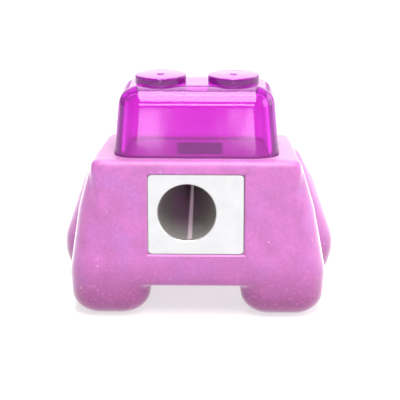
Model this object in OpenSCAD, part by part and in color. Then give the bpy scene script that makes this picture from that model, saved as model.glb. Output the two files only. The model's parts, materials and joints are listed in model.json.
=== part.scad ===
// Two-in-one eraser and pencil sharpener: a rubber body on four feet, a metal wedge sharpener
// pushed into its front, and a translucent cap plugged into its top that catches the shavings.
// X is to the right, -Y is the front with the pencil hole, +Z is up, and the feet stand on Z = 0.

/* [Eraser body] */
// Depth from the front face to the back of the hind feet
body_depth = 28; // [27.5:0.5:30]
// Height of the shelf that the cap stands on
shelf_h = 23; // [22.7:0.1:24]
// Width of the shelf along its front edge
shelf_front_w = 29.2; // [28:0.2:31]
// Width of the shelf along its rear edge
shelf_rear_w = 27; // [26:0.2:29]
// Depth of the shelf from its front edge to its rear edge
shelf_l = 17.2; // [16.5:0.1:18.5]
// Roundness of the shelf's edges
shelf_edge_r = 1; // [0.8:0.1:1.6]
// Height of the belly above the ground
belly_h = 4.7; // [3.5:0.1:5.5]

/* [Feet] */
// Distance between the centres of the front feet
front_feet_gap = 24.2; // [23:0.2:25]
// Width of a front foot
front_foot_w = 11.6; // [10.8:0.1:12]
// Depth of a front foot
front_foot_l = 11.2; // [10:0.1:12]
// Distance between the centres of the hind feet
hind_feet_gap = 27.8; // [27:0.2:29]
// Width of a hind foot
hind_foot_w = 12.7; // [12:0.1:13.2]
// Depth of a hind foot
hind_foot_l = 12.8; // [11:0.1:13]
// Height at which a front foot starts to round under
front_foot_round_h = 3.2; // [2:0.1:4]
// Height at which a hind foot starts to round under
hind_foot_round_h = 5.2; // [4:0.1:5.6]
// Radius of a foot's upright corners
foot_corner_r = 4; // [3.4:0.1:4.6]

/* [Sharpener block] */
// Width of the metal block
block_w = 13.2; // [12.6:0.1:13.6]
// Height of the metal block at its face
block_h = 11.3; // [11:0.1:11.4]
// Length of the metal block
block_l = 21.5; // [21:0.1:21.8]
// Height of the block's underside above the ground
block_floor_h = 9.7; // [9.3:0.1:9.8]
// How far the block's face lies behind the eraser's front
block_inset = 0.3; // [0.1:0.1:0.6]
// Radius of the pencil hole
bore_r = 4.05; // [3.9:0.05:4.1]
// Depth of the straight part of the pencil hole
bore_lead_l = 2.7; // [2:0.1:3]
// Sideways place of the pencil hole
bore_x = -1.25; // [-1.4:0.05:-1]
// Half the angle of the pencil's point
point_half_angle = 11.5; // [11:0.1:12]
// Radius of the hole that lets the lead's tip through
tip_r = 0.5; // [0.4:0.05:0.7]
// Clearance around the block in its pocket
pocket_gap = 0.1; // [0.05:0.05:0.2]

/* [Blade and screw] */
// How deep the blade's seat cuts into the top of the cone
seat_bite = 0.25; // [0.2:0.05:0.3]
// Thickness of the blade
blade_t = 0.5; // [0.4:0.05:0.6]
// Length of the blade
blade_l = 18.2; // [17:0.1:18.4]
// Distance from the bore's axis to the blade's outer edge
blade_reach = 7.2; // [6.6:0.1:7.4]
// Diameter of the screw's head
screw_head_d = 4; // [3.6:0.1:4.4]
// Height of the screw's head
screw_head_h = 1; // [0.8:0.1:1.2]
// Diameter of the screw's shank
screw_shank_d = 2; // [1.8:0.1:2.2]

/* [Shavings cap] */
// Width of the cap at the shelf
cap_w = 23; // [22.5:0.1:24]
// Depth of the cap at the shelf
cap_l = 13; // [12.4:0.1:13.4]
// Radius of the cap's upright corners
cap_corner_r = 3.2; // [2.6:0.1:3.6]
// How much narrower the cap is at its shoulder than at the shelf
cap_draft = 1; // [0.8:0.1:1.8]
// Height of the cap's flat top above the shelf
cap_rise = 9.5; // [8.5:0.1:10]
// Thickness of the cap's walls
cap_wall = 1.4; // [1.1:0.1:1.5]
// How deep the cap's rim sits in the eraser
cap_rim_depth = 1.15; // [0.8:0.05:1.2]
// Clearance around the cap's rim in its groove
rim_gap = 0.12; // [0.08:0.02:0.2]
// Diameter of the studs on top
stud_d = 7.2; // [6.6:0.1:7.6]
// Height of the studs on top
stud_h = 1; // [0.8:0.1:1.4]
// Distance between the centres of the studs
stud_pitch = 10.2; // [9.8:0.1:10.8]

/* [Hidden] */
$fn = 64;
HULL_FN = 28;
foot_taper = 0.3;
FRONT_Y = -body_depth / 2;

// The block's own frame: u runs from the block's face to its tail, Z stays the height.
block_face_y = FRONT_Y + block_inset;
bore_z = block_floor_h + 5.9;
cone_slope = tan(point_half_angle);
cone_l = (bore_r - tip_r) / cone_slope;
rib_l = 3.2;
block_corner_r = 0.5;
waist_depth = 0.9;
waist_l = 14;
waist_mid_u = 11.2;
waist_r = (pow(waist_l / 2, 2) + pow(waist_depth, 2)) / (2 * waist_depth);
groove_r = 0.28;
groove_pitch = 1.1;
throat_tilt = 22;
throat_drop = 0.9;
seat_gap = 0.02;

// The blade's cutting edge runs from edge_front to edge_rear, right of the bore's axis.
edge_front = 1.2;
edge_rear = 0.5;
bevel_w = 1.4;
screw_x = 4.1;
screw_s = 9.2;
screw_depth = 5.5;
screw_slot_w = 0.6;
screw_slot_depth = 0.45;

// The pocket follows the wedge, so that its rear ceiling slopes down under the rump.
pocket_top = block_floor_h + block_h + pocket_gap;
pocket_flat_l = 12.8;
pocket_l = block_inset + block_l + 0.4;
pocket_end_h = 17.5;

cap_mid_y = FRONT_Y + 8.5;
shoulder_rise = 2.9;
ceiling_wall = 1.4;
tongue_w = 6;
tongue_l = 3;
tongue_gap = 0.15;
nub_r = 0.5;
nub_h = 0.12;
well_x = 0.35;
well_w = 6.4;
well_y = FRONT_Y + 8.1;
well_l = 6.8;

// Radius of the pencil cone at a distance u from the block's face.
function cone_r(u) = bore_r - (u - bore_lead_l) * cone_slope;

// Height of the blade's seat at a distance u from the block's face.
function seat_z(u) = bore_z + cone_r(u) - seat_bite;

// A rectangle with rounded corners, centred.
module rounded_rect(w, l, r) {
    square([w - 2 * r, l], center = true);
    square([w, l - 2 * r], center = true);
    for (x = [-1, 1], y = [-1, 1]) {
        translate([x * (w / 2 - r), y * (l / 2 - r)]) circle(r);
    }
}

// An ellipsoid by its centre and its three half-widths.
module ellipsoid(centre, half) {
    translate(centre) scale(half) sphere(1, $fn = HULL_FN);
}

// A side outline, drawn as depth and height, made w wide across the object.
module across(w) {
    translate([-w / 2, 0, 0]) rotate([90, 0, 90]) linear_extrude(w) children();
}

module torso() {
    r = shelf_edge_r;
    hull() {
        for (side = [-1, 1]) {
            ellipsoid([side * (shelf_front_w / 2 - r), FRONT_Y + r + 0.5, shelf_h - r], [r, r, r]);
            ellipsoid([side * (shelf_rear_w / 2 - r), FRONT_Y + 0.5 + shelf_l - r, shelf_h - r], [r, r, r]);
            ellipsoid([side * 8.5, FRONT_Y + 20.8, 16.5], [3.6, 3.6, 3.8]);
            ellipsoid([side * 12.4, FRONT_Y + 1.2, belly_h + 1.2], [1.2, 1.2, 1.2]);
            ellipsoid([side * 13.6, FRONT_Y + 12.4, belly_h + 2.8], [2.6, 4, 2.8]);
            ellipsoid([side * 10, FRONT_Y + 22.2, belly_h + 2.6], [2.6, 2.6, 2.6]);
        }
    }
}

// The four upright corners of a foot, as rounded as the foot's underside at a height above it.
module foot_corners(foot, w, l, half_h) {
    r = foot_corner_r;
    for (x = [-1, 1], y = [-1, 1]) {
        ellipsoid([foot.x + x * (w / 2 - r), foot.y + y * (l / 2 - r), foot.z], [r, r, half_h]);
    }
}

// A leg: a shoulder and a thigh that run down into a foot with a flat patch under it.
module leg(shoulder, shoulder_r, thigh, thigh_r, foot, w, l, round_h) {
    hull() {
        ellipsoid(shoulder, [shoulder_r, shoulder_r, shoulder_r]);
        ellipsoid(thigh, [thigh_r, thigh_r, thigh_r]);
        foot_corners(foot, w, l, round_h);
        foot_corners([foot.x, foot.y, round_h], w - foot_taper, l - foot_taper, round_h);
    }
}

module right_front_leg() {
    leg(
        [13.2, FRONT_Y + 2.3, 21.3], 1.6,
        [13.2, FRONT_Y + 3.7, 15.3], 3.3,
        [front_feet_gap / 2, FRONT_Y + front_foot_l / 2, 6.3],
        front_foot_w,
        front_foot_l,
        front_foot_round_h
    );
}

module right_hind_leg() {
    leg(
        [12.2, FRONT_Y + 16.3, 18.3], 3.4,
        [12.5, FRONT_Y + 18.8, 14.3], 5,
        [hind_feet_gap / 2, FRONT_Y + body_depth - hind_foot_l / 2, 5.8],
        hind_foot_w,
        hind_foot_l,
        hind_foot_round_h
    );
}

// The blind pocket that the metal block is pushed into from the front.
module block_pocket() {
    floor_z = block_floor_h - pocket_gap;
    translate([0, FRONT_Y, 0]) across(block_w + 2 * pocket_gap) polygon([
        [-1, floor_z],
        [-1, pocket_top],
        [pocket_flat_l, pocket_top],
        [pocket_l, pocket_end_h],
        [pocket_l, floor_z]
    ]);
}

// The hole from the pocket up into the cap, which the shavings come out of.
module shavings_well() {
    translate([well_x - well_w / 2, well_y - well_l / 2, pocket_top - 1]) cube([well_w, well_l, 4]);
}

// The groove for the cap's rim, with a deeper slot each side for the cap's tongues.
module cap_seat() {
    floor_z = shelf_h - cap_rim_depth - 0.05;
    translate([0, cap_mid_y, floor_z]) {
        difference() {
            linear_extrude(3) rounded_rect(cap_w + 2 * rim_gap, cap_l + 2 * rim_gap, cap_corner_r + rim_gap);
            translate([0, 0, -1]) linear_extrude(5) rounded_rect(
                cap_w - 2 * cap_wall - 2 * rim_gap,
                cap_l - 2 * cap_wall - 2 * rim_gap,
                cap_corner_r - cap_wall - rim_gap
            );
        }
        for (side = [-1, 1]) {
            translate([side * (cap_w / 2 - cap_wall / 2), 0, -tongue_l / 2]) cube(
                [cap_wall + 2 * rim_gap, tongue_w + 2 * tongue_gap, tongue_l + 2 * tongue_gap],
                center = true
            );
        }
    }
}

module eraser_body() {
    color("orchid") difference() {
        union() {
            torso();
            for (side = [0, 1]) {
                mirror([side, 0, 0]) {
                    right_front_leg();
                    right_hind_leg();
                }
            }
        }
        block_pocket();
        shavings_well();
        cap_seat();
    }
}

// The outside of the cap above the shelf: drafted walls that turn over a soft shoulder.
module cap_outside() {
    top_w = cap_w - cap_draft;
    top_l = cap_l - cap_draft;
    r = cap_corner_r - 0.1;
    hull() {
        linear_extrude(0.1) rounded_rect(cap_w, cap_l, cap_corner_r, $fn = HULL_FN);
        for (x = [-1, 1], y = [-1, 1]) {
            ellipsoid([x * (top_w / 2 - r), y * (top_l / 2 - r), cap_rise - shoulder_rise], [r, r, shoulder_rise]);
        }
    }
}

// The room inside the cap, open at the bottom.
module cap_inside() {
    low_w = cap_w - 2 * cap_wall;
    low_l = cap_l - 2 * cap_wall;
    r = cap_corner_r - cap_wall;
    rise = cap_rise - ceiling_wall;
    hull() {
        translate([0, 0, -cap_rim_depth - 1]) linear_extrude(1.2) rounded_rect(low_w, low_l, r, $fn = HULL_FN);
        for (x = [-1, 1], y = [-1, 1]) {
            ellipsoid(
                [x * ((low_w - cap_draft) / 2 - r), y * ((low_l - cap_draft) / 2 - r), rise - 1.2],
                [r, r, 1.2]
            );
        }
    }
}

module shavings_cap() {
    color([0.75, 0.2, 0.8, 0.6]) translate([0, cap_mid_y, shelf_h]) {
        difference() {
            union() {
                cap_outside();
                translate([0, 0, -cap_rim_depth]) linear_extrude(cap_rim_depth + 0.1)
                    rounded_rect(cap_w, cap_l, cap_corner_r);
                for (side = [-1, 1]) {
                    translate([side * stud_pitch / 2, 0, cap_rise - 0.2]) {
                        cylinder(d = stud_d, h = stud_h + 0.2);
                        cylinder(r = nub_r, h = stud_h + 0.2 + nub_h);
                    }
                    translate([side * (cap_w / 2 - cap_wall / 2), 0, -cap_rim_depth - tongue_l / 2 + 0.1]) cube(
                        [cap_wall - 0.1, tongue_w, tongue_l + 0.2],
                        center = true
                    );
                }
            }
            cap_inside();
        }
    }
}

// Puts what is drawn along +Y from the origin on the pencil hole's axis, starting at u.
module on_bore(u) {
    translate([bore_x, block_face_y + u, bore_z]) rotate([-90, 0, 0]) children();
}

// The seat's own frame: Y runs down the slope from the rib, and Z stands square on the seat.
module on_seat() {
    translate([bore_x, block_face_y + rib_l, seat_z(rib_l)]) rotate([-point_half_angle, 0, 0]) children();
}

module pencil_hole() {
    on_bore(-1) cylinder(r = bore_r, h = bore_lead_l + 1);
    on_bore(bore_lead_l) cylinder(r1 = bore_r, r2 = tip_r, h = cone_l);
    on_bore(bore_lead_l + cone_l - 0.5) cylinder(r = tip_r, h = block_l);
}

// Hollow sides that two fingers grip, with fine upright grooves.
module finger_grips() {
    grooves = floor(waist_l / groove_pitch) - 1;
    for (side = [-1, 1]) {
        translate([side * (block_w / 2 - waist_depth + waist_r), block_face_y + waist_mid_u, 0]) {
            cylinder(r = waist_r, h = 30, $fn = 200);
            for (i = [0 : grooves]) {
                turn = asin((i - grooves / 2) * groove_pitch / waist_r);
                translate([-side * waist_r * cos(turn), waist_r * sin(turn), 0]) cylinder(r = groove_r, h = 30);
            }
        }
    }
}

module sharpener_block() {
    color("gainsboro") difference() {
        translate([0, block_face_y + block_l, block_floor_h + block_h / 2]) rotate([90, 0, 0])
            linear_extrude(block_l) rounded_rect(block_w, block_h, block_corner_r);
        pencil_hole();
        translate([0, block_face_y, 0]) across(block_w + 2) polygon([
            [rib_l, seat_z(rib_l)],
            [rib_l, block_floor_h + block_h + 1],
            [block_l + 1, block_floor_h + block_h + 1],
            [block_l + 1, seat_z(block_l + 1)]
        ]);
        on_seat() rotate([0, throat_tilt, 0]) translate([-6, 0, -throat_drop]) cube([6.9, 16.5, 4]);
        finger_grips();
        on_seat() translate([screw_x, screw_s, -screw_depth - 0.4])
            cylinder(d = screw_shank_d + 0.1, h = screw_depth + 1);
    }
}

module blade() {
    edge_turn = atan((edge_front - edge_rear) / blade_l);
    edge_land = 0.06;
    color("lightsteelblue") on_seat() translate([0, 0.1, seat_gap]) difference() {
        linear_extrude(blade_t) polygon([
            [edge_front, 0],
            [blade_reach, 0],
            [blade_reach, blade_l],
            [edge_rear, blade_l]
        ]);
        translate([edge_front, 0, edge_land]) rotate([0, 0, edge_turn])
            rotate([0, -atan((blade_t - edge_land) / bevel_w), 0])
            translate([-1, -1, 0]) cube([3.5, blade_l + 2, 2]);
        translate([screw_x, screw_s - 0.1, -1]) cylinder(d = screw_shank_d + 0.3, h = 3);
    }
}

module blade_screw() {
    color("silver") on_seat() translate([screw_x, screw_s, 2 * seat_gap + blade_t]) difference() {
        union() {
            cylinder(d = screw_head_d, h = screw_head_h);
            translate([0, 0, -screw_depth]) cylinder(d = screw_shank_d, h = screw_depth + 0.1);
        }
        rotate([0, 0, 35]) translate([0, 0, screw_head_h]) cube(
            [screw_head_d + 1, screw_slot_w, 2 * screw_slot_depth],
            center = true
        );
    }
}

eraser_body();
shavings_cap();
sharpener_block();
blade();
blade_screw();
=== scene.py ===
"""A small eraser on four feet, with a metal wedge sharpener in its front and a translucent cap on top.

The pieces are modelled in millimetres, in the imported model's own frame, and made metres as they are finished.
"""

import json
import math

import bmesh
import bpy
from mathutils import Matrix, Vector, noise


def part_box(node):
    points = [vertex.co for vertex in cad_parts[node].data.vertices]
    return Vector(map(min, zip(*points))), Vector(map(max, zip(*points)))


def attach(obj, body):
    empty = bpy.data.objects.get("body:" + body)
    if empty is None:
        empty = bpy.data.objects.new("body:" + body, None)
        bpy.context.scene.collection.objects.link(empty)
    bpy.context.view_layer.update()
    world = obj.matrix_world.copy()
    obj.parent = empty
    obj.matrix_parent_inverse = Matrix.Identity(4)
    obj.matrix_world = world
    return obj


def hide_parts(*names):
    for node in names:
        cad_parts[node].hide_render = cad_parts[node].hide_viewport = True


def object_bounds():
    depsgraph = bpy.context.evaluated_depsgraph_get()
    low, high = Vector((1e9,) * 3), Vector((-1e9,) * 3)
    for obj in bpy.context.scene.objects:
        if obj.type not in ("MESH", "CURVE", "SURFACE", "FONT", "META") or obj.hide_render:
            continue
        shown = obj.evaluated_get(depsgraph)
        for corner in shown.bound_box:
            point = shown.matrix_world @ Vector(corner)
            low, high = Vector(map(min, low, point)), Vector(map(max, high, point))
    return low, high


bl_info = {
    "name": "Eraser and Sharpener Builder",
    "version": (1, 0, 0),
    "blender": (4, 5, 0),
    "location": "View3D > Sidebar > Sharpener",
    "description": "Builds an eraser with a wedge sharpener and a shavings cap around the packed model",
    "category": "Object",
}

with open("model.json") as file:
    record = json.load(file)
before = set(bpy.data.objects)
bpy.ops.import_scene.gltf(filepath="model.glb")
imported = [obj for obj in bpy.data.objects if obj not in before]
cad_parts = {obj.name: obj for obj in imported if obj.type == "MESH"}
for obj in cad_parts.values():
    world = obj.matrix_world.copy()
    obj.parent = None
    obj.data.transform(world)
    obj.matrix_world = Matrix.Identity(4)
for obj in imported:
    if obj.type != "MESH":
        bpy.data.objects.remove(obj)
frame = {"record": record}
CAD_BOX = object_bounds()
MM = 0.001
SHARP_EDGE = math.radians(38)
CRISP_EDGE = math.radians(35)
WELD = 1e-4


# ---------------------------------------------------------------- places taken from the frame


def box_mm(node):
    """A node's lowest and highest corners, in millimetres."""
    low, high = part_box(node)
    return low / MM, high / MM


ERASER_LOW, ERASER_HIGH = box_mm("eraser_body")
CAP_LOW, CAP_HIGH = box_mm("shavings_cap")
BLOCK_LOW, BLOCK_HIGH = box_mm("sharpener_block")
FRONT = ERASER_LOW.y
SHELF = ERASER_HIGH.z
WELL_MIDDLE = Vector((0.35, FRONT + 8.1))
WELL_SIZE = (6.4, 6.8)
PENCIL_HOLE = next(m for m in frame["record"]["mounts"] if m["name"] == "pencil_hole")


# ---------------------------------------------------------------- sizes and colours


def length(name, description, default):
    """A length property whose default is given in millimetres."""
    return bpy.props.FloatProperty(
        name=name, description=description, default=default * MM, min=0, unit="LENGTH", precision=4
    )


def colour(name, description, default):
    """A colour property in linear light."""
    return bpy.props.FloatVectorProperty(
        name=name, description=description, default=default, size=3, min=0, max=1, subtype="COLOR"
    )


class EraserSettings(bpy.types.PropertyGroup):
    """Sizes and colours of the rubber body"""

    shelf_front_w: length("Shelf front width", "Width of the shelf along its front edge", 29.2)
    shelf_rear_w: length("Shelf rear width", "Width of the shelf along its rear edge", 27.0)
    shelf_l: length("Shelf depth", "Depth of the shelf from its front edge to its rear edge", 17.6)
    shelf_edge: length("Shelf edge radius", "Roundness of the shelf's edges", 1.0)
    setback: length("Shelf setback", "How far the shelf's front edge leans back", 0.1)
    belly_h: length("Belly height", "Height of the belly above the ground", 4.7)
    feet_gap: length("Front feet gap", "Distance between the centres of the front feet", 24.2)
    foot_w: length("Front foot width", "Width of the left front foot", 11.6)
    right_foot_w: length("Right foot width", "Width of the right front foot, which is fatter", 12.2)
    foot_l: length("Front foot depth", "Depth of a front foot", 11.2)
    hind_gap: length("Hind feet gap", "Distance between the centres of the hind feet", 27.8)
    hind_w: length("Hind foot width", "Width of a hind foot", 12.7)
    hind_l: length("Hind foot depth", "Depth of a hind foot", 12.8)
    foot_corner: length("Foot corner radius", "Radius of a foot's upright corners", 4.0)
    foot_round: length("Front foot rounding", "Height at which a front foot starts to round under", 3.2)
    hind_round: length("Hind foot rounding", "Height at which a hind foot starts to round under", 5.2)
    clearance: length("Pocket clearance", "Gap around the metal block in its pocket", 0.1)
    lip: length("Lip chamfer", "Width of the soft lip around the pocket and the cap's groove", 0.18)
    grain: length("Mesh grain", "Size of the faces that the blended body is made of", 0.3)
    lumps: length("Lumps", "Depth of the moulded rubber's slow unevenness", 0.06)
    rubber: colour("Rubber", "Colour of the rubber", (0.45, 0.115, 0.385))
    # Painted shade: this colour darkens the rubber towards the bottom of the feet.
    feet_shade: colour("Worn rubber", "Colour of the soiled rubber low on the feet", (0.2, 0.02, 0.13))
    violet_rubber: colour("Violet rubber", "Colour of the cooler clouds in the rubber", (0.4, 0.13, 0.46))
    # Painted shade: this colour darkens the rubber in the well under the cap almost to black.
    well_shade: colour("Soot", "Colour that pencil dust gives the well under the cap", (0.03, 0.005, 0.05))
    dark_speck: colour("Dark specks", "Colour of the dark specks in the rubber", (0.16, 0.03, 0.13))
    pale_speck: colour("Pale specks", "Colour of the pale specks in the rubber", (0.7, 0.42, 0.66))


class CapSettings(bpy.types.PropertyGroup):
    """Sizes and colours of the shavings cap"""

    rise: length("Rise", "Height of the cap's flat top above the shelf", 9.5)
    corner: length("Corner radius", "Radius of the cap's upright corners", 3.2)
    draft: length("Draft", "How much narrower the cap is at its shoulder", 1.2)
    rim: length("Rim depth", "How deep the cap's rim sits in the eraser", 1.15)
    wall: length("Wall", "Thickness of the cap's walls", 1.4)
    shoulder: length("Shoulder radius", "Radius of the cap's top edge", 2.9)
    inner_turn: length("Inner radius", "Radius of the top edge inside the cap", 1.2)
    stud_d: length("Stud diameter", "Diameter of the studs on top", 7.2)
    stud_h: length("Stud height", "Height of the studs on top", 1.0)
    stud_pitch: length("Stud pitch", "Distance between the centres of the studs", 10.2)
    tongue_w: length("Tongue width", "Width of the two tongues that grip the eraser", 6.0)
    plastic: colour("Plastic", "Colour that the cap's plastic lets through", (0.82, 0.0, 0.87))
    plastic_skin: colour("Plastic skin", "Colour of the light that the plastic scatters", (0.735, 0.08, 0.7))
    # Painted light: the whole cap glows faintly of itself in this colour.
    plastic_glow: colour("Plastic glow", "Colour that gathers inside the plastic's edges", (0.9, 0.02, 0.85))
    plastic_depth: bpy.props.FloatProperty(
        name="Plastic depth", description="How quickly the plastic takes up light", default=300, min=0
    )


class SharpenerSettings(bpy.types.PropertyGroup):
    """Sizes and colours of the metal block, its blade and its screw"""

    corner: length("Block corner radius", "Radius of the block's long edges", 0.5)
    lead: length("Lead-in depth", "Depth of the straight part of the pencil hole", 2.7)
    tip: length("Tip hole radius", "Radius of the hole for the lead's tip", 0.5)
    rib: length("Rib", "Thickness of the full-height rib behind the face", 3.2)
    bite: length("Seat bite", "How deep the blade's seat cuts into the cone", 0.25)
    waist: length("Waist depth", "Depth of the finger grips in the block's sides", 0.9)
    waist_l: length("Waist length", "Length of the finger grips", 14.0)
    blade_t: length("Blade thickness", "Thickness of the blade", 0.5)
    blade_l: length("Blade length", "Length of the blade", 18.2)
    blade_reach: length("Blade reach", "Distance from the bore's axis to the blade's outer edge", 7.2)
    head_d: length("Screw head diameter", "Diameter of the screw's head", 4.0)
    head_h: length("Screw head height", "Height of the screw's head", 1.0)
    half_angle: bpy.props.FloatProperty(
        name="Point half angle",
        description="Half the angle of the pencil's point",
        default=math.radians(11.5),
        subtype="ANGLE",
    )
    alloy: colour("Alloy", "Colour of the block's machined outside", (0.62, 0.62, 0.63))
    bore: colour("Bore", "Colour of the reamed cone inside the block", (0.5, 0.5, 0.46))
    # Painted highlight: this colour paints and lights a glowing line along the bottom of the cone.
    painted_glint: colour("Rubbed line", "Colour of the bright line along the bottom of the cone", (1.0, 0.9, 0.9))
    steel: colour("Steel", "Colour of the blade", (0.6, 0.61, 0.63))
    plating: colour("Plating", "Colour of the screw", (0.72, 0.7, 0.66))


class StageSettings(bpy.types.PropertyGroup):
    """The camera, the lights and the floor"""

    distance: length("Camera distance", "Distance from the camera to the eraser's front", 200)
    height: length("Camera height", "Height of the camera above the ground", 73.6)
    stand: length("Camera offset", "How far the camera stands to the right", 4.77)
    lens: bpy.props.FloatProperty(
        name="Lens", description="Focal length in millimetres", default=136.1, min=10
    )
    pitch: bpy.props.FloatProperty(
        name="Pitch",
        description="How far the camera looks down",
        default=math.radians(15.65),
        subtype="ANGLE",
    )
    yaw: bpy.props.FloatProperty(
        name="Yaw",
        description="How far the camera looks to the left",
        default=math.radians(1.2),
        subtype="ANGLE",
    )
    surroundings: bpy.props.FloatProperty(
        name="Surroundings", description="How brightly the white surroundings shine", default=0.4, min=0
    )
    floor: colour("Floor", "Colour of the floor", (0.45, 0.45, 0.45))
    floor_glow: bpy.props.FloatProperty(
        name="Floor glow", description="How brightly the floor shines of itself", default=0.62, min=0
    )


SETTINGS = {
    "sharpener_eraser": EraserSettings,
    "sharpener_cap": CapSettings,
    "sharpener_metal": SharpenerSettings,
    "sharpener_stage": StageSettings,
}


class Millimetres:
    """Reads a settings group's lengths as millimetres."""

    def __init__(self, group):
        self.group = group

    def __getattr__(self, name):
        return getattr(self.group, name) / MM


# ---------------------------------------------------------------- shapes


def box_shape(low, high):
    """A box between two corners."""
    bm = bmesh.new()
    low, high = Vector(low), Vector(high)
    bmesh.ops.create_cube(bm, size=1)
    bmesh.ops.scale(bm, vec=high - low, verts=bm.verts)
    bmesh.ops.translate(bm, vec=(low + high) / 2, verts=bm.verts)
    return bm


def along(edge, axis):
    """True if an edge runs along an axis, 0 to 2."""
    run = edge.verts[1].co - edge.verts[0].co
    return abs(run[axis]) > 0.99 * run.length


def round_edges(bm, edges, radius, segments):
    """Rounds some edges of a shape."""
    bmesh.ops.bevel(
        bm, geom=list(edges), offset=radius, affect="EDGES", segments=segments, profile=0.5, material=-1
    )


def pillar(centre, width, depth, radius, low, high, segments=8):
    """An upright block with rounded corners."""
    x, y = centre
    bm = box_shape((x - width / 2, y - depth / 2, low), (x + width / 2, y + depth / 2, high))
    round_edges(bm, [e for e in bm.edges if along(e, 2)], radius, segments)
    return bm


def lathe(profile, segments=128):
    """A closed round shape about Z, from points of radius and height that start and end on the axis."""
    bm = bmesh.new()
    points = [bm.verts.new((r, 0, z)) for r, z in profile]
    for a, b in zip(points, points[1:]):
        bm.edges.new((a, b))
    bmesh.ops.spin(
        bm,
        geom=bm.verts[:] + bm.edges[:],
        cent=(0, 0, 0),
        axis=(0, 0, 1),
        angle=2 * math.pi,
        steps=segments,
        use_merge=True,
    )
    bmesh.ops.remove_doubles(bm, verts=bm.verts, dist=1e-5)
    bmesh.ops.recalc_face_normals(bm, faces=bm.faces)
    return bm


def turned(bm, matrix):
    """A shape moved or turned in place."""
    bmesh.ops.transform(bm, matrix=matrix, verts=bm.verts)
    return bm


def scratch_object(bm):
    """A throwaway object that holds a shape, which is used up."""
    mesh = bpy.data.meshes.new("scratch")
    bm.to_mesh(mesh)
    bm.free()
    ob = bpy.data.objects.new("scratch", mesh)
    bpy.context.scene.collection.objects.link(ob)
    return ob


def discard(ob):
    """Removes a throwaway object and its mesh."""
    mesh = ob.data
    bpy.data.objects.remove(ob)
    bpy.data.meshes.remove(mesh)


def result_of(ob):
    """The shape that an object's modifiers make."""
    depsgraph = bpy.context.evaluated_depsgraph_get()
    mesh = bpy.data.meshes.new_from_object(ob.evaluated_get(depsgraph))
    bm = bmesh.new()
    bm.from_mesh(mesh)
    bpy.data.meshes.remove(mesh)
    return bm


def combine(base, other, operation):
    """Joins a shape to another or cuts it away. Both are used up."""
    a, b = scratch_object(base), scratch_object(other)
    boolean = a.modifiers.new("combine", "BOOLEAN")
    boolean.operation = operation
    boolean.solver = "EXACT"
    boolean.object = b
    made = result_of(a)
    discard(a)
    discard(b)
    if not made.faces:
        raise RuntimeError("a boolean left nothing")
    return made


def cut(base, *others):
    """Cuts shapes away from a shape."""
    for other in others:
        base = combine(base, other, "DIFFERENCE")
    return base


def join(base, *others):
    """Joins shapes to a shape."""
    for other in others:
        base = combine(base, other, "UNION")
    return base


def skin_around(balls, outlines=(), fineness=40):
    """The convex skin around ellipsoids, each a centre and three half-widths, and around other shapes."""
    bm = stacked(outlines)
    for centre, half in balls:
        made = bmesh.ops.create_uvsphere(bm, u_segments=fineness, v_segments=fineness // 2, radius=1)["verts"]
        bmesh.ops.scale(bm, vec=half, verts=made)
        bmesh.ops.translate(bm, vec=centre, verts=made)
    bmesh.ops.delete(bm, geom=bm.edges[:], context="EDGES_FACES")
    bmesh.ops.convex_hull(bm, input=bm.verts[:])
    bmesh.ops.delete(bm, geom=[v for v in bm.verts if not v.link_faces], context="VERTS")
    bmesh.ops.dissolve_limit(bm, angle_limit=math.radians(0.4), verts=bm.verts, edges=bm.edges)
    bmesh.ops.recalc_face_normals(bm, faces=bm.faces)
    return bm


def stacked(shapes):
    """Several shapes as the loose shells of one. They are used up."""
    whole = bmesh.new()
    for bm in shapes:
        mesh = bpy.data.meshes.new("scratch")
        bm.to_mesh(mesh)
        bm.free()
        whole.from_mesh(mesh)
        bpy.data.meshes.remove(mesh)
    return whole


def finish_piece(name, bm, body, material, node):
    """Makes a shape in millimetres a finished piece in metres, which stands for its CAD node."""
    bmesh.ops.remove_doubles(bm, verts=bm.verts, dist=WELD)
    bmesh.ops.dissolve_degenerate(bm, edges=bm.edges, dist=WELD)
    bmesh.ops.scale(bm, vec=(MM, MM, MM), verts=bm.verts)
    mesh = bpy.data.meshes.new(name)
    bm.to_mesh(mesh)
    bm.free()
    mesh.materials.append(material)
    mesh.shade_smooth()
    mesh.set_sharp_from_angle(angle=SHARP_EDGE)
    piece = bpy.data.objects.new(name, mesh)
    bpy.context.scene.collection.objects.link(piece)
    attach(piece, body)
    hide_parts(node)
    return piece


def soften(piece, width):
    """Gives a piece's crisp edges a small bevel, and keeps its flat faces flat."""
    bevel = piece.modifiers.new("soft edges", "BEVEL")
    bevel.width = width * MM
    bevel.segments = 2
    bevel.limit_method = "ANGLE"
    bevel.angle_limit = CRISP_EDGE
    bevel.harden_normals = True


def flatten_shading(piece):
    """Shades wide flat faces as flat beside the rounded edges that join them."""
    normals = piece.modifiers.new("flat faces", "WEIGHTED_NORMAL")
    normals.keep_sharp = True


# ---------------------------------------------------------------- materials


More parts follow.
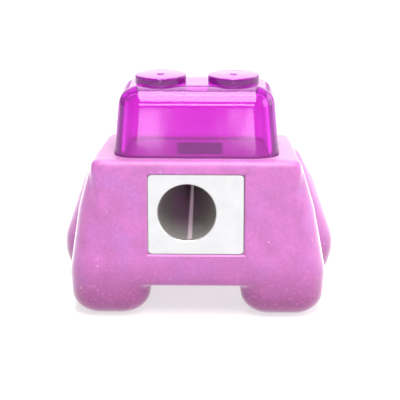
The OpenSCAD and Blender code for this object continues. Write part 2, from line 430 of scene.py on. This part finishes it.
class Recipe:
    """A material being made: its node tree, its shader and its object coordinates."""

    def __init__(self, name):
        self.material = bpy.data.materials.new(name)
        self.material.use_nodes = True
        self.tree = self.material.node_tree
        self.shader = self.tree.nodes["Principled BSDF"]
        self.place = self.tree.nodes.new("ShaderNodeTexCoord").outputs["Object"]

    def set(self, **values):
        """Even values on the shader's own sockets."""
        for name, value in values.items():
            socket = self.shader.inputs[name.replace("_", " ")]
            socket.default_value = (*value, 1) if hasattr(value, "__len__") and len(value) == 3 else value

    def node(self, kind, **inputs):
        """A new node, with values or links given to its inputs."""
        made = self.tree.nodes.new(kind)
        for name, value in inputs.items():
            self.feed(made.inputs[name.replace("_", " ")], value)
        return made

    def feed(self, socket, value):
        """Gives a socket a link, a colour or a number."""
        if isinstance(value, bpy.types.NodeSocket):
            self.tree.links.new(value, socket)
        elif hasattr(value, "__len__") and len(value) == 3 and socket.type == "RGBA":
            socket.default_value = (*value, 1)
        else:
            socket.default_value = value

    def stretched(self, scale, turn=(0, 0, 0)):
        """Object coordinates scaled per axis, in patterns per millimetre."""
        return self.node(
            "ShaderNodeMapping", Vector=self.place, Scale=[s / MM for s in scale], Rotation=turn
        ).outputs["Vector"]

    def noise(self, place, detail, roughness=0.5):
        return self.node(
            "ShaderNodeTexNoise", Vector=place, Scale=1.0, Detail=detail, Roughness=roughness
        ).outputs["Fac"]

    def spots(self, place, low, high):
        """1 at the middle of scattered cells and 0 around them, and a number that each cell draws."""
        cells = self.node("ShaderNodeTexVoronoi", Vector=place, Scale=1.0, Randomness=1.0)
        near = self.span(cells.outputs["Distance"], low, high, 1, 0)
        drawn = self.node("ShaderNodeSeparateColor", Color=cells.outputs["Color"]).outputs["Red"]
        return near, drawn

    def span(self, value, low, high, to_low=0.0, to_high=1.0):
        """Value carried from one range to another, clamped."""
        return self.node(
            "ShaderNodeMapRange",
            Value=value,
            From_Min=low,
            From_Max=high,
            To_Min=to_low,
            To_Max=to_high,
        ).outputs["Result"]

    def maths(self, operation, *values):
        made = self.tree.nodes.new("ShaderNodeMath")
        made.operation = operation
        for socket, value in zip(made.inputs, values):
            self.feed(socket, value)
        return made.outputs[0]

    def near(self, value, middle, reach):
        """1 where a coordinate is within a reach in millimetres of the middle, and 0 a little further off."""
        off = self.maths("ABSOLUTE", self.maths("SUBTRACT", value, middle * MM))
        return self.span(off, (reach + 0.25) * MM, (reach + 0.1) * MM)

    def product(self, a, b):
        return self.maths("MULTIPLY", a, b)

    def mix(self, share, a, b):
        made = self.tree.nodes.new("ShaderNodeMix")
        made.data_type = "RGBA"
        self.feed(made.inputs["Factor"], share)
        self.feed(made.inputs[6], a)
        self.feed(made.inputs[7], b)
        return made.outputs[2]

    def colour(self, value):
        self.feed(self.shader.inputs["Base Color"], value)

    def roughness(self, value):
        self.feed(self.shader.inputs["Roughness"], value)

    def bump(self, height, depth):
        """Raises the surface by up to a depth in millimetres where height is 1."""
        made = self.node("ShaderNodeBump", Height=height, Strength=1.0, Distance=depth * MM)
        previous = self.shader.inputs["Normal"].links
        if previous:
            self.feed(made.inputs["Normal"], previous[0].from_socket)
        self.feed(self.shader.inputs["Normal"], made.outputs["Normal"])


def scaled(shade, factor):
    """A colour made lighter or darker."""
    return tuple(min(1, c * factor) for c in shade)


def rubber_material(settings):
    """Eraser rubber: two sizes of clouds, mottling, fine grain, specks, and painted shade low on the feet and
    in the well.
    """
    r = Recipe("eraser_rubber")
    base = tuple(settings.rubber)
    cloud = r.noise(r.stretched((0.3, 0.3, 0.3)), detail=3)
    body = r.mix(r.span(cloud, 0.35, 0.65), scaled(base, 0.88), scaled(base, 1.06))
    hue = r.noise(r.stretched((0.22, 0.22, 0.22), turn=(0.4, 0.2, 0.9)), detail=3)
    body = r.mix(r.span(hue, 0.5, 0.66, 0, 0.5), body, tuple(settings.violet_rubber))
    place = r.node("ShaderNodeSeparateXYZ", Vector=r.place).outputs
    # Painted shade: the rubber darkens towards the ground, from 9 mm down to 2.5 mm.
    body = r.mix(r.span(place["Z"], 9 * MM, 2.5 * MM, 0, 0.85), body, tuple(settings.feet_shade))
    mottle = r.noise(r.stretched((2, 2, 2)), detail=3, roughness=0.6)
    body = r.mix(r.span(mottle, 0.52, 0.68, 0, 0.4), body, scaled(base, 1.2))
    body = r.mix(r.span(mottle, 0.48, 0.34, 0, 0.4), body, scaled(base, 0.78))
    grain = r.noise(r.stretched((5, 5, 5)), detail=2)
    near, drawn = r.spots(r.stretched((0.8, 0.8, 0.8)), 0.07, 0.14)
    dark = r.product(near, r.span(drawn, 0.86, 0.9))
    pale = r.product(near, r.span(drawn, 0.16, 0.12))
    body = r.mix(r.product(dark, 0.75), body, tuple(settings.dark_speck))
    body = r.mix(r.product(pale, 0.55), body, tuple(settings.pale_speck))
    # Painted shade: the rubber inside the well, above the block, is darkened almost to black.
    across = r.near(place["X"], WELL_MIDDLE.x, WELL_SIZE[0] / 2)
    down = r.near(place["Y"], WELL_MIDDLE.y, WELL_SIZE[1] / 2)
    above_block = r.span(place["Z"], BLOCK_HIGH.z * MM, (BLOCK_HIGH.z + 0.2) * MM)
    well = r.product(r.product(across, down), above_block)
    r.colour(r.mix(well, body, tuple(settings.well_shade)))
    r.roughness(r.span(mottle, 0.3, 0.7, 0.42, 0.54))
    r.set(Subsurface_Weight=0.12, Subsurface_Scale=0.0012, Specular_IOR_Level=0.45)
    r.set(Coat_Weight=0.45, Coat_Roughness=0.35)
    r.set(Sheen_Weight=1.0, Sheen_Roughness=0.32, Sheen_Tint=(1, 0.97, 0.98))
    r.bump(mottle, 0.02)
    r.bump(grain, 0.01)
    return r.material


def plastic_material(settings):
    """Clear violet moulded plastic, coloured through its thickness, with a glossy skin and a faint painted glow
    of its own.
    """
    r = Recipe("cap_plastic")
    # Painted light: the plastic glows faintly of itself in the glow colour.
    r.set(
        Base_Color=tuple(settings.plastic_skin),
        Transmission_Weight=0.91,
        IOR=1.45,
        Emission_Color=tuple(settings.plastic_glow),
        Emission_Strength=0.04,
    )
    flow = r.noise(r.stretched((0.25, 0.25, 0.12)), detail=1)
    r.roughness(r.span(flow, 0.3, 0.7, 0.07, 0.1))
    r.bump(flow, 0.03)
    inside = r.tree.nodes.new("ShaderNodeVolumeAbsorption")
    inside.inputs["Color"].default_value = (*settings.plastic, 1)
    inside.inputs["Density"].default_value = settings.plastic_depth
    out = r.tree.nodes["Material Output"]
    r.tree.links.new(inside.outputs["Volume"], out.inputs["Volume"])
    return r.material


def alloy_material(settings):
    """Pale machined alloy with fine milling lines."""
    r = Recipe("block_alloy")
    lines = r.noise(r.stretched((0.6, 0.6, 14)), detail=3)
    cloud = r.noise(r.stretched((0.5, 0.5, 0.5)), detail=2)
    r.colour(r.mix(r.span(cloud, 0.3, 0.7), scaled(settings.alloy, 0.96), scaled(settings.alloy, 1.03)))
    r.roughness(r.span(lines, 0.3, 0.7, 0.34, 0.46))
    r.set(Metallic=1.0)
    r.bump(lines, 0.004)
    return r.material


def bore_material(settings):
    """The reamed cone: darker, with fine rings around its axis and a painted highlight, a bright glowing line
    along its bottom.
    """
    r = Recipe("bore_alloy")
    rings = r.noise(r.stretched((0.02, 16, 0.02)), detail=2)
    metal = r.mix(r.span(rings, 0.3, 0.7), scaled(settings.bore, 0.8), scaled(settings.bore, 1.25))
    place = r.node("ShaderNodeSeparateXYZ", Vector=r.place).outputs
    # Painted highlight: a narrow line along the bottom of the cone is made lighter and glows of itself.
    mouth = bore_place(0) * MM
    line_x = mouth.x + 0.35 * MM
    half_w = r.span(place["Y"], mouth.y, mouth.y + 16 * MM, 0.4 * MM, 0.28 * MM)
    off = r.maths("ABSOLUTE", r.maths("SUBTRACT", place["X"], line_x))
    across = r.span(r.maths("DIVIDE", off, half_w), 0.55, 1.0, 1, 0)
    below = r.span(place["Z"], mouth.z - 0.2 * MM, mouth.z - 0.5 * MM)
    inside = r.span(place["Y"], mouth.y + 0.7 * MM, mouth.y + 1.3 * MM)
    line = r.product(r.product(across, below), inside)
    r.colour(r.mix(line, metal, tuple(settings.painted_glint)))
    r.set(Emission_Color=tuple(settings.painted_glint))
    r.feed(r.shader.inputs["Emission Strength"], r.product(line, 0.16))
    r.roughness(r.span(rings, 0.3, 0.7, 0.3, 0.4))
    r.set(Metallic=0.6)
    r.bump(rings, 0.012)
    return r.material


def steel_material(settings):
    """Ground blade steel with fine lines across the blade."""
    r = Recipe("blade_steel")
    lines = r.noise(r.stretched((0.3, 22, 0.3)), detail=3)
    cloud = r.noise(r.stretched((0.4, 0.4, 0.4)), detail=2)
    r.colour(r.mix(r.span(cloud, 0.3, 0.7), scaled(settings.steel, 0.85), scaled(settings.steel, 1.1)))
    r.roughness(r.span(lines, 0.3, 0.7, 0.2, 0.34))
    r.set(Metallic=1.0)
    r.bump(lines, 0.003)
    return r.material


def plating_material(settings):
    """Bright plating on the screw, a little worn."""
    r = Recipe("screw_plating")
    wear = r.noise(r.stretched((1.6, 1.6, 1.6)), detail=4)
    r.colour(r.mix(r.span(wear, 0.4, 0.65), scaled(settings.plating, 0.8), tuple(settings.plating)))
    r.roughness(r.span(wear, 0.3, 0.7, 0.2, 0.4))
    r.set(Metallic=1.0)
    r.bump(wear, 0.004)
    return r.material


# ---------------------------------------------------------------- the rubber body


FOOT_TAPER = 0.3
SMOOTH_ROUNDS = 18


def torso_balls(s):
    """The rounded corners that the torso's skin is drawn around."""
    e = s.shelf_edge
    top = SHELF - e
    balls = []
    for side in (-1, 1):
        balls += [
            ((side * (s.shelf_front_w / 2 - e), FRONT + s.setback + e, top), (e, e, e)),
            ((side * (s.shelf_rear_w / 2 - e), FRONT + s.setback + s.shelf_l - e, top), (e, e, e)),
            ((side * 8.5, FRONT + 20.8, 16.5), (3.6, 3.6, 3.8)),
            ((side * 12.4, FRONT + 1.2, s.belly_h + 1.2), (1.2, 1.2, 1.2)),
            ((side * 13.6, FRONT + 12.4, s.belly_h + 2.8), (2.6, 4, 2.8)),
            ((side * 10, FRONT + 22.2, s.belly_h + 2.6), (2.6, 2.6, 2.6)),
        ]
    return balls


def foot_balls(s, place, width, depth, half_h):
    """The four upright corners of a foot at one height."""
    r = s.foot_corner
    x, y, z = place
    return [
        ((x + i * (width / 2 - r), y + j * (depth / 2 - r), z), (r, r, half_h))
        for i in (-1, 1)
        for j in (-1, 1)
    ]


def leg_balls(s, side, shoulder, thigh, foot, width, depth, half_h):
    """A shoulder, a thigh and a foot, given for the right side, whose foot rounds under from a height."""
    x, y, z = side * foot[0], foot[1], foot[2]
    balls = [((side * c[0], c[1], c[2]), (r, r, r)) for c, r in (shoulder, thigh)]
    balls += foot_balls(s, (x, y, z), width, depth, half_h)
    return balls + foot_balls(s, (x, y, half_h), width - FOOT_TAPER, depth - FOOT_TAPER, half_h)


def body_shells(s):
    """The torso and the four legs, each as its own shell."""
    shells = [skin_around(torso_balls(s))]
    for side in (-1, 1):
        front = leg_balls(
            s,
            side,
            ((13.2, FRONT + 2.3, 21.3), 1.6),
            ((13.2, FRONT + 3.7, 15.3), 3.3),
            (s.feet_gap / 2, FRONT + s.foot_l / 2, 6.3),
            s.right_foot_w if side > 0 else s.foot_w,
            s.foot_l,
            s.foot_round,
        )
        hind = leg_balls(
            s,
            side,
            ((12.2, FRONT + 16.3, 18.3), 3.4),
            ((12.5, FRONT + 18.8, 14.3), 5),
            (s.hind_gap / 2, ERASER_HIGH.y - s.hind_l / 2, 5.8),
            s.hind_w,
            s.hind_l,
            s.hind_round,
        )
        shells += [skin_around(front), skin_around(hind)]
    return shells


def blended(shells, grain):
    """Overlapping shells melted into one skin whose creases are soft."""
    ob = scratch_object(stacked(shells))
    remesh = ob.modifiers.new("one skin", "REMESH")
    remesh.mode = "VOXEL"
    remesh.voxel_size = grain
    smooth = ob.modifiers.new("soft creases", "SMOOTH")
    smooth.factor = 0.5
    smooth.iterations = SMOOTH_ROUNDS
    made = result_of(ob)
    discard(ob)
    return made


def make_uneven(bm, depth):
    """Sinks the skin here and there by up to a depth, as moulded rubber does, but not the soles."""
    bm.normal_update()
    for v in bm.verts:
        hollow = 0.5 + 0.35 * noise.noise(v.co * 0.35) + 0.15 * noise.noise(v.co * 0.9)
        v.co -= v.normal * (hollow * depth * min(1, v.co.z))
        v.co.z = max(v.co.z, ERASER_LOW.z)


def block_pocket(s):
    """The blind pocket for the metal block, with a softened mouth."""
    gap = s.clearance
    left, right = BLOCK_LOW.x - gap, BLOCK_HIGH.x + gap
    floor, top = BLOCK_LOW.z - gap, BLOCK_HIGH.z + gap
    flat_end, rear = FRONT + 12.8, BLOCK_HIGH.y + 0.4
    rear_top, edge_r, near = 17.5, 0.5, 0.01
    pocket = box_shape((left, FRONT - 1, floor), (right, rear, top))
    whole = pocket.verts[:] + pocket.edges[:] + pocket.faces[:]
    bmesh.ops.bisect_plane(pocket, geom=whole, plane_co=(0, flat_end, 0), plane_no=(0, 1, 0))
    for v in pocket.verts:
        if v.co.y > rear - near and v.co.z > top - near:
            v.co.z = rear_top

    def slopes_down(edge):
        return edge.calc_face_angle(0) > 1 and edge.verts[0].co.z > 16 and not along(edge, 0)

    round_edges(pocket, [e for e in pocket.edges if along(e, 1) or slopes_down(e)], edge_r, 4)
    reach, spread = 0.5, 0.62 + s.lip
    mouth = box_shape((left, FRONT - reach, floor), (right, FRONT + 0.12 + s.lip, top))
    for v in mouth.verts:
        if v.co.y < FRONT:
            v.co.x += math.copysign(spread, v.co.x)
            v.co.z += math.copysign(spread, v.co.z - (floor + top) / 2)
    return pocket, mouth


def shavings_well():
    """The hole from the pocket up into the cap."""
    corner_r, overlap = 0.7, 0.9
    return pillar(WELL_MIDDLE, *WELL_SIZE, corner_r, BLOCK_HIGH.z - overlap, SHELF + 2, 5)


def cap_seat(s, cap):
    """The groove for the cap's rim and the slots for its tongues."""
    gap = 0.12
    centre = (0, (CAP_LOW.y + CAP_HIGH.y) / 2)
    width, depth = CAP_HIGH.x - CAP_LOW.x, CAP_HIGH.y - CAP_LOW.y
    floor = SHELF - cap.rim - 0.05
    ring = cut(
        pillar(centre, width + 2 * gap, depth + 2 * gap, cap.corner + gap, floor, SHELF + 1),
        pillar(
            centre,
            width - 2 * (cap.wall + gap),
            depth - 2 * (cap.wall + gap),
            cap.corner - cap.wall - gap,
            floor - 1,
            SHELF + 2,
        ),
    )
    slots = []
    for side in (-1, 1):
        x = side * (width / 2 - cap.wall / 2)
        half_w, half_l = cap.wall / 2 + gap, cap.tongue_w / 2 + 0.15
        slots.append(
            box_shape(
                (x - half_w, centre[1] - half_l, CAP_LOW.z - 0.1),
                (x + half_w, centre[1] + half_l, floor + 0.3),
            )
        )
    return [ring, *slots]


class SHARPENER_OT_eraser(bpy.types.Operator):
    """Build the rubber body on its four feet"""

    bl_idname = "sharpener.eraser"
    bl_label = "Eraser body"

    def execute(self, context):
        settings = context.scene.sharpener_eraser
        s, cap = Millimetres(settings), Millimetres(context.scene.sharpener_cap)
        body = blended(body_shells(s), s.grain)
        make_uneven(body, s.lumps)
        body = cut(body, *block_pocket(s), shavings_well(), *cap_seat(s, cap))
        finish_piece(
            "rubber_body", body, "eraser", rubber_material(settings), "eraser_body"
        )
        return {"FINISHED"}


# ---------------------------------------------------------------- the shavings cap


def drafted_box(width, depth, radius, low, high, draft, turn_over):
    """A rounded box whose walls lean in above Z = 0 and turn over a soft shoulder."""
    r = radius - 0.05
    x, y = (width - draft) / 2 - r, (depth - draft) / 2 - r
    corners = [((i * x, j * y, high - turn_over), (r, r, turn_over)) for i in (-1, 1) for j in (-1, 1)]
    foot = pillar((0, 0), width, depth, radius, low, 0, 16)
    return skin_around(corners, [foot], 64)


def stud(s, rise):
    """A round stud with a soft rim and a small moulding nub."""
    r, h, edge = s.stud_d / 2, s.stud_h, 0.2
    nub = CAP_HIGH.z - SHELF - rise - h
    profile = [(0, rise - 0.5), (r, rise - 0.5)]
    for i in range(6):
        turn = math.pi / 2 * i / 5
        profile.append((r - edge * (1 - math.cos(turn)), rise + h - edge * (1 - math.sin(turn))))
    profile += [(0.5, rise + h), (0.42, rise + h + nub), (0, rise + h + nub)]
    return lathe(profile, 96)


def tongue(s, side, width):
    """One of the two tongues below the rim, with soft lower corners."""
    x, half = side * (width / 2 - s.wall / 2), (s.wall - 0.1) / 2
    bm = box_shape((x - half, -s.tongue_w / 2, CAP_LOW.z - SHELF), (x + half, s.tongue_w / 2, -s.rim + 0.3))
    round_edges(bm, [e for e in bm.edges if along(e, 0) and e.verts[0].co.z < -s.rim], 0.8, 4)
    return bm


def cap_shape(s):
    """The whole cap: drafted walls, rim, tongues and studs, hollow from below."""
    width, depth = CAP_HIGH.x - CAP_LOW.x, CAP_HIGH.y - CAP_LOW.y
    whole = drafted_box(width, depth, s.corner, -s.rim, s.rise, s.draft, s.shoulder)
    inner_w, inner_d, inner_r = width - 2 * s.wall, depth - 2 * s.wall, s.corner - s.wall
    room = drafted_box(inner_w, inner_d, inner_r, -s.rim - 1, s.rise - s.wall, s.draft, s.inner_turn)
    whole = cut(whole, room)
    for side in (-1, 1):
        pin = turned(stud(s, s.rise), Matrix.Translation((side * s.stud_pitch / 2, 0, 0)))
        whole = join(whole, tongue(s, side, width), pin)
    return turned(whole, Matrix.Translation((0, (CAP_LOW.y + CAP_HIGH.y) / 2, SHELF)))


class SHARPENER_OT_cap(bpy.types.Operator):
    """Build the translucent cap that catches the shavings"""

    bl_idname = "sharpener.cap"
    bl_label = "Shavings cap"

    def execute(self, context):
        settings = context.scene.sharpener_cap
        piece = finish_piece(
            "clear_cap",
            cap_shape(Millimetres(settings)),
            "cap",
            plastic_material(settings),
            "shavings_cap",
        )
        soften(piece, 0.1)
        flatten_shading(piece)
        return {"FINISHED"}


# ---------------------------------------------------------------- the metal block, its blade and its screw


def bore_place(u):
    """A point on the pencil hole's axis, at a distance from the block's face."""
    x, _, z = (c / MM for c in PENCIL_HOLE["pos_m"])
    return Vector((x, BLOCK_LOW.y + u, z))


def bore_radius(s, angle, u):
    """Radius of the pencil cone at a distance from the block's face."""
    return PENCIL_HOLE["dims"]["r_mm"] - (u - s.lead) * math.tan(angle)


def seat_start(s, angle):
    """Where the blade's seat starts behind the rib, a little below the top of the cone."""
    start = bore_place(s.rib)
    start.z = bore_place(0).z + bore_radius(s, angle, s.rib) - s.bite
    return Matrix.Translation(start)


def seat_frame(s, angle):
    """The blade seat's own frame: Y runs down the slope from the rib and Z stands square on the seat."""
    return seat_start(s, angle) @ Matrix.Rotation(-angle, 4, "X")


def pencil_hole(s, angle):
    """The straight lead-in, the cone and the small tip hole, with a fine chamfer at the mouth."""
    mouth_r = PENCIL_HOLE["dims"]["r_mm"]
    cone_end = s.lead + (mouth_r - s.tip) / math.tan(angle)
    chamfer = 0.12
    profile = [
        (0, -1),
        (mouth_r + chamfer, -1),
        (mouth_r + chamfer, 0),
        (mouth_r, chamfer),
        (mouth_r, s.lead),
        (s.tip, cone_end),
        (s.tip, 30),
        (0, 30),
    ]
    along_y = Matrix.Rotation(-math.pi / 2, 4, "X")
    return turned(lathe(profile, 144), Matrix.Translation(bore_place(0)) @ along_y)


def seat_cutter(s, angle):
    """Everything above the sloping seat, behind the rib."""
    slope = Matrix.Identity(4)
    slope[2][1] = -math.tan(angle)
    return turned(box_shape((-20, 0, 0), (20, 30, 12)), seat_start(s, angle) @ slope)


GRIP_MIDDLE = 11.2
SCREW_PLACE = Vector((4.1, 9.2, 0))


def grip_cutter(s, side):
    """A wide upright cylinder with fine ridges, which hollows one side of the block."""
    radius = ((s.waist_l / 2) ** 2 + s.waist**2) / (2 * s.waist)
    ridges, ridge_h = 158, 0.22
    bm = bmesh.new()
    bmesh.ops.create_circle(bm, cap_ends=True, segments=2 * ridges, radius=radius)
    for v in bm.verts:
        turn = math.atan2(v.co.y, v.co.x) / (2 * math.pi) * 2 * ridges
        if round(turn) % 2:
            v.co *= 1 + ridge_h / radius
    made = bmesh.ops.extrude_face_region(bm, geom=bm.faces[:])
    lifted = [g for g in made["geom"] if isinstance(g, bmesh.types.BMVert)]
    bmesh.ops.translate(bm, vec=(0, 0, 40), verts=lifted)
    bmesh.ops.recalc_face_normals(bm, faces=bm.faces)
    middle = BLOCK_LOW.y + GRIP_MIDDLE
    x = side * ((BLOCK_HIGH.x - BLOCK_LOW.x) / 2 - s.waist + radius)
    return turned(bm, Matrix.Translation((x, middle, 0)))


def block_shape(s, angle):
    """The wedge block with its bore, seat, throat, finger grips and screw hole."""
    block = box_shape(BLOCK_LOW, BLOCK_HIGH)
    round_edges(block, [e for e in block.edges if along(e, 1)], s.corner, 5)
    seat = seat_frame(s, angle)
    throat = box_shape((-6, 0, -0.9), (0.9, 16.5, 4))
    throat_place = seat @ Matrix.Rotation(math.radians(22), 4, "Y")
    hole = lathe([(0, -6), (1.05, -6), (1.05, 1), (0, 1)], 32)
    return cut(
        block,
        pencil_hole(s, angle),
        seat_cutter(s, angle),
        turned(throat, throat_place),
        grip_cutter(s, -1),
        grip_cutter(s, 1),
        turned(hole, seat @ Matrix.Translation(SCREW_PLACE)),
    )


def blade_shape(s, angle):
    """The blade: a tapered plate ground to an edge on its left, with a hole for the screw."""
    front_edge, rear_edge, bevel_w, land = 1.2, 0.5, 1.4, 0.06
    plate = box_shape((front_edge, 0, 0), (s.blade_reach, s.blade_l, s.blade_t))
    for v in plate.verts:
        if v.co.x < front_edge + 0.1 and v.co.y > 1:
            v.co.x = rear_edge
    grind = box_shape((-1, -1, 0), (2.5, s.blade_l + 2, 2))
    turn = math.atan((front_edge - rear_edge) / s.blade_l)
    tilt = -math.atan((s.blade_t - land) / bevel_w)
    place = Matrix.Translation((front_edge, 0, land)) @ Matrix.Rotation(turn, 4, "Z")
    place = place @ Matrix.Rotation(tilt, 4, "Y")
    hole = lathe([(0, -1), (1.15, -1), (1.15, 2), (0, 2)], 48)
    screw = SCREW_PLACE - Vector((0, 0.1, 0))
    whole = cut(plate, turned(grind, place), turned(hole, Matrix.Translation(screw)))
    return turned(whole, seat_frame(s, angle) @ Matrix.Translation((0, 0.1, 0.02)))


def screw_shape(s, angle):
    """A slotted cheese-head screw with a softly domed head."""
    r, h, shank, depth = s.head_d / 2, s.head_h, 1.0, 5.5
    profile = [
        (0, h),
        (0.6 * r, h - 0.01),
        (0.85 * r, h - 0.06),
        (0.96 * r, h - 0.16),
        (r, h - 0.32),
        (r, 0.06),
        (r - 0.06, 0),
        (shank, 0),
        (shank, -depth + 0.5),
        (0.5 * shank, -depth),
        (0, -depth),
    ]
    slot = box_shape((-r - 1, -0.3, h - 0.45), (r + 1, 0.3, h + 1))
    whole = cut(lathe(profile, 64), turned(slot, Matrix.Rotation(math.radians(35), 4, "Z")))
    above = SCREW_PLACE + Vector((0, 0, s.blade_t + 0.04))
    return turned(whole, seat_frame(s, angle) @ Matrix.Translation(above))


def paint_bore(piece, material, s, angle):
    """Gives the faces of the pencil hole the reamed finish."""
    piece.data.materials.append(material)
    axis = bore_place(0)
    for face in piece.data.polygons:
        place = face.center / MM
        u = place.y - axis.y
        off = Vector((place.x - axis.x, 0, place.z - axis.z)).length
        wall = max(bore_radius(s, angle, max(u, s.lead)), s.tip)
        outward = abs(face.normal.y) < 0.5
        if 0.05 < u and outward and off < wall + 0.06 and off > wall - 0.4:
            face.material_index = 1


class SHARPENER_OT_block(bpy.types.Operator):
    """Build the metal wedge block with its pencil hole"""

    bl_idname = "sharpener.block"
    bl_label = "Sharpener block"

    def execute(self, context):
        settings = context.scene.sharpener_metal
        s = Millimetres(settings)
        piece = finish_piece(
            "wedge_block",
            block_shape(s, settings.half_angle),
            "sharpener",
            alloy_material(settings),
            "sharpener_block",
        )
        paint_bore(piece, bore_material(settings), s, settings.half_angle)
        return {"FINISHED"}


class SHARPENER_OT_blade(bpy.types.Operator):
    """Build the blade and the screw that holds it"""

    bl_idname = "sharpener.blade"
    bl_label = "Blade and screw"

    def execute(self, context):
        settings = context.scene.sharpener_metal
        s = Millimetres(settings)
        angle = settings.half_angle
        steel, plating = steel_material(settings), plating_material(settings)
        blade = finish_piece("blade_plate", blade_shape(s, angle), "sharpener", steel, "blade")
        soften(blade, 0.03)
        screw = finish_piece(
            "cheese_head_screw", screw_shape(s, angle), "sharpener", plating, "blade_screw"
        )
        soften(screw, 0.04)
        return {"FINISHED"}


# ---------------------------------------------------------------- the stage


def softbox(name, place, target, width, height, radiance):
    """An even panel of light at a place in metres, facing a target. Radiance 1 is like white paper."""
    lamp = bpy.data.lights.new(name, "AREA")
    lamp.shape = "RECTANGLE"
    lamp.size, lamp.size_y = width, height
    lamp.energy = radiance * math.pi * width * height
    ob = bpy.data.objects.new(name, lamp)
    ob.location = place
    ob.rotation_euler = (Vector(target) - Vector(place)).to_track_quat("-Z", "Y").to_euler()
    ob.visible_camera = False
    bpy.context.scene.collection.objects.link(ob)


def white_surroundings(strength):
    """An even white world."""
    world = bpy.data.worlds.new("studio")
    world.use_nodes = True
    background = world.node_tree.nodes["Background"]
    background.inputs["Color"].default_value = (1, 1, 1, 1)
    background.inputs["Strength"].default_value = strength
    bpy.context.scene.world = world


def pale_floor(settings):
    """A wide pale floor that shines a little of itself, so that shadows stay light."""
    bm = bmesh.new()
    bmesh.ops.create_grid(bm, x_segments=1, y_segments=1, size=2)
    mesh = bpy.data.meshes.new("floor")
    bm.to_mesh(mesh)
    bm.free()
    r = Recipe("floor_paint")
    r.set(
        Base_Color=tuple(settings.floor),
        Roughness=0.8,
        Specular_IOR_Level=0.2,
        Emission_Color=(1, 1, 1),
        Emission_Strength=settings.floor_glow,
    )
    mesh.materials.append(r.material)
    floor = bpy.data.objects.new("floor", mesh)
    bpy.context.scene.collection.objects.link(floor)


def camera(settings):
    """The camera, which looks down at the front of the object."""
    data = bpy.data.cameras.new("camera")
    data.lens = settings.lens
    data.sensor_width = 36
    data.clip_start, data.clip_end = 0.01, 10
    ob = bpy.data.objects.new("camera", data)
    ob.location = (settings.stand, FRONT * MM - settings.distance, settings.height)
    ob.rotation_euler = (math.pi / 2 - settings.pitch, 0, settings.yaw)
    bpy.context.scene.collection.objects.link(ob)
    bpy.context.scene.camera = ob


# Each light's name, place, width and height in metres, and how many times brighter than white paper it is.
LIGHTS = (
    ("overhead", (0.02, -0.13, 0.36), 0.16, 0.42, 10.5),
    ("behind", (0.02, 0.4, 0.17), 0.5, 0.24, 1.5),
    ("behind_above", (0.0, 0.17, 0.3), 0.14, 0.2, 4),
    ("behind_right", (0.36, 0.16, 0.14), 0.3, 0.24, 2.5),
    ("front_fill", (0.01, -0.4, 0.17), 0.1, 0.07, 10),
    ("right_side", (0.36, -0.12, 0.16), 0.2, 0.24, 3.0),
    ("left_card", (-0.0188, -0.222, 0.016), 0.009, 0.016, 7),
    ("right_card", (0.011, -0.222, 0.016), 0.0075, 0.016, 7),
)


class SHARPENER_OT_stage(bpy.types.Operator):
    """Set the floor, the soft lights and the camera"""

    bl_idname = "sharpener.stage"
    bl_label = "Stage"

    def execute(self, context):
        settings = context.scene.sharpener_stage
        middle = (CAD_BOX[0] + CAD_BOX[1]) / 2
        camera(settings)
        pale_floor(settings)
        white_surroundings(settings.surroundings)
        for name, place, width, height, radiance in LIGHTS:
            softbox(name, place, middle, width, height, radiance)
        context.scene.view_settings.view_transform = "Standard"
        return {"FINISHED"}


# ---------------------------------------------------------------- the add-on


class SHARPENER_PT_builder(bpy.types.Panel):
    """Lists the steps that build the sharpener"""

    bl_idname = "SHARPENER_PT_builder"
    bl_label = "Eraser and sharpener"
    bl_space_type = "VIEW_3D"
    bl_region_type = "UI"
    bl_category = "Sharpener"

    def draw(self, context):
        for step in STEPS:
            self.layout.operator(step.bl_idname)
        for name in SETTINGS:
            group = getattr(context.scene, name)
            column = self.layout.column()
            for prop in group.bl_rna.properties:
                if prop.identifier not in ("rna_type", "name"):
                    column.prop(group, prop.identifier)


STEPS = (
    SHARPENER_OT_stage,
    SHARPENER_OT_eraser,
    SHARPENER_OT_cap,
    SHARPENER_OT_block,
    SHARPENER_OT_blade,
)
CLASSES = (*SETTINGS.values(), *STEPS, SHARPENER_PT_builder)


def register():
    for item in CLASSES:
        bpy.utils.register_class(item)
    for name, group in SETTINGS.items():
        setattr(bpy.types.Scene, name, bpy.props.PointerProperty(type=group))


def unregister():
    for name in SETTINGS:
        delattr(bpy.types.Scene, name)
    for item in reversed(CLASSES):
        bpy.utils.unregister_class(item)


def main():
    register()
    bpy.ops.sharpener.stage()
    bpy.ops.sharpener.eraser()
    bpy.ops.sharpener.cap()
    bpy.ops.sharpener.block()
    bpy.ops.sharpener.blade()


if __name__ == "__main__":
    main()
